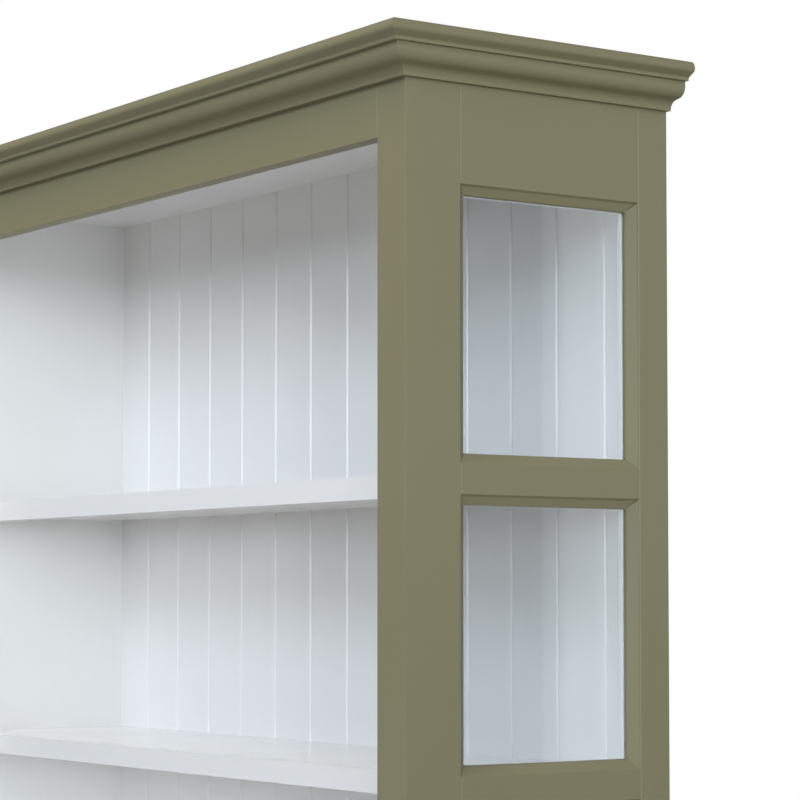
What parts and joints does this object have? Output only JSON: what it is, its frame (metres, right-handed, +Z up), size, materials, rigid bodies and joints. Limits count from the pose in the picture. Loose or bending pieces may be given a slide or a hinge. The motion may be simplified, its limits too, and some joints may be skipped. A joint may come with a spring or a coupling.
{
  "type": "display cabinet",
  "caption": "Tall painted display cabinet with a mitred cornice, open shelves, a boarded back, one glazed end and one panelled end.",
  "frame": {"origin": "middle of the floor area that the whole cabinet covers, cornice included, at floor level", "axes": "+X to the right when facing the cabinet, towards the glazed end; +Y to the boarded back; +Z up"},
  "size_m": [1.347, 0.3984, 1.841],
  "materials": {
    "outside_paint": "olive-sage eggshell paint on solid wood",
    "inside_paint": "cool white satin paint on solid wood",
    "clear_glass": "clear float glass with a faint blue-grey tint",
    "bare_wood": "bare planed softwood"
  },
  "bodies": {
    "root": {"cornice_front": "outside_paint", "cornice_left": "outside_paint", "cornice_right": "outside_paint", "header_rail": "outside_paint", "plinth_rail": "outside_paint", "face_stile_left": "outside_paint", "face_stile_right": "outside_paint", "left_front_stile": "outside_paint", "left_rear_stile": "outside_paint", "left_top_rail": "outside_paint", "left_mid_rail_1": "outside_paint", "left_mid_rail_2": "outside_paint", "left_mid_rail_3": "outside_paint", "left_mid_rail_4": "outside_paint", "left_bottom_rail": "outside_paint", "right_front_stile": "outside_paint", "right_rear_stile": "outside_paint", "right_top_rail": "outside_paint", "right_mid_rail_1": "outside_paint", "right_mid_rail_2": "outside_paint", "right_mid_rail_3": "outside_paint", "right_mid_rail_4": "outside_paint", "right_bottom_rail": "outside_paint", "glass_pane_1": "clear_glass", "glass_pane_2": "clear_glass", "glass_pane_3": "clear_glass", "glass_pane_4": "clear_glass", "glass_pane_5": "clear_glass", "glazing_beads_1": "inside_paint", "glazing_beads_2": "inside_paint", "glazing_beads_3": "inside_paint", "glazing_beads_4": "inside_paint", "glazing_beads_5": "inside_paint", "left_panel_1": "inside_paint", "left_panel_2": "inside_paint", "left_panel_3": "inside_paint", "left_panel_4": "inside_paint", "left_panel_5": "inside_paint", "top_board": "inside_paint", "bottom_board": "inside_paint", "shelf_1": "inside_paint", "shelf_2": "inside_paint", "shelf_3": "inside_paint", "shelf_4": "inside_paint", "back_board_01": "inside_paint", "back_board_02": "inside_paint", "back_board_03": "inside_paint", "back_board_04": "inside_paint", "back_board_05": "inside_paint", "back_board_06": "inside_paint", "back_board_07": "inside_paint", "back_board_08": "inside_paint", "back_board_09": "inside_paint", "back_board_10": "inside_paint", "back_board_11": "inside_paint", "back_board_12": "inside_paint", "back_board_13": "inside_paint", "back_board_14": "inside_paint", "bottom_back_rail": "bare_wood", "glue_blocks": "bare_wood"}
  },
  "joints": []
}
